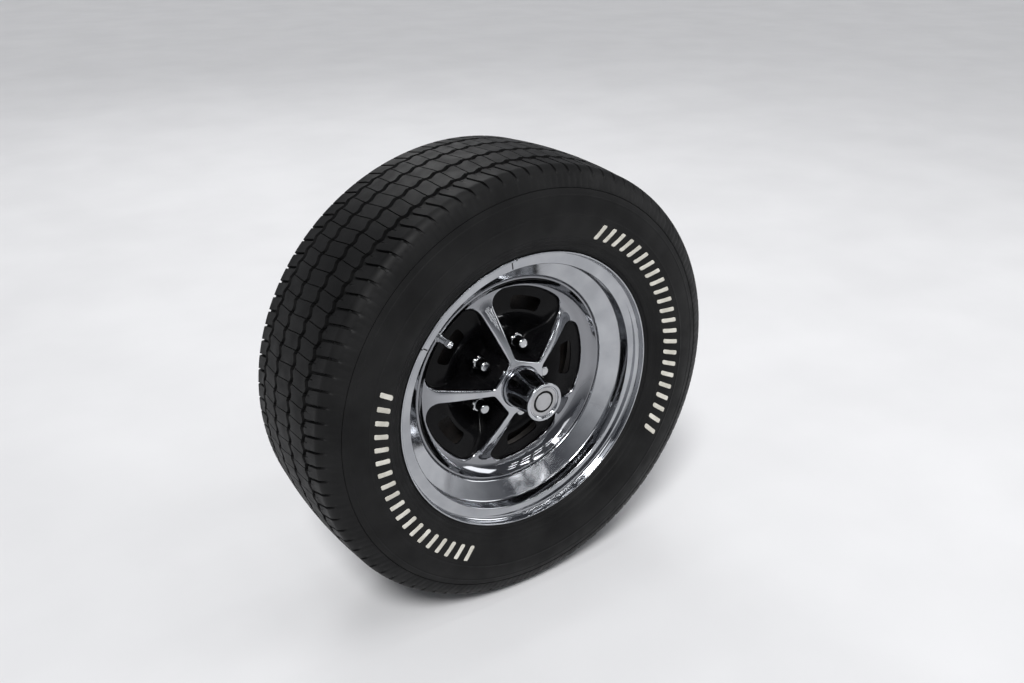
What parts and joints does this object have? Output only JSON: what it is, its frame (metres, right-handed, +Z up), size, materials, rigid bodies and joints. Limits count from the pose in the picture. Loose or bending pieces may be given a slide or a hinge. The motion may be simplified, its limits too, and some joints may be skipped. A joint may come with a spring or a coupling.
{
  "type": "front wheel end of a muscle car",
  "caption": "Chromed five-spoke steel wheel and radial tyre on a brake drum and hub, turning on the spindle of a forged knuckle.",
  "frame": {"origin": "on the turning axis, in the plane of the knuckle's inboard face", "axes": "+Y inboard along the turning axis, +X to the front of the car, +Z up; the wheel faces -Y"},
  "size_m": [0.663, 0.2971, 0.6628],
  "materials": {
    "tyre": "matt black rubber with raised white marks",
    "chrome": "bright chrome plate",
    "spoke_chrome": "bright chrome plate, pockets painted gloss black",
    "cap_chrome": "bright chrome plate",
    "black_ring": "gloss black",
    "satin_metal": "satin",
    "nut_chrome": "bright chrome plate",
    "valve_chrome": "bright chrome plate",
    "cast_iron": "dark cast iron",
    "hub_iron": "machined cast iron",
    "stud_steel": "plated steel",
    "forged_steel": "forged steel, dark",
    "black_steel": "satin black paint"
  },
  "bodies": {
    "knuckle": {"knuckle": "forged_steel", "backing_plate": "black_steel"},
    "wheel": {"tyre": "tyre", "rim": "chrome", "spider": "spoke_chrome", "cover_strip": "chrome", "centre_cap": "cap_chrome", "cap_ring": "black_ring", "cap_disc": "satin_metal", "lug_nuts": "nut_chrome", "valve_stem": "valve_chrome", "valve_cap": "valve_chrome", "brake_drum": "cast_iron", "hub": "hub_iron", "wheel_studs": "stud_steel"}
  },
  "joints": [
    {"name": "wheel_spin", "type": "hinge", "parent": "knuckle", "child": "wheel", "pos_m": [0, -0.13, 0], "axis": [0, 1, 0], "continuous": true}
  ]
}
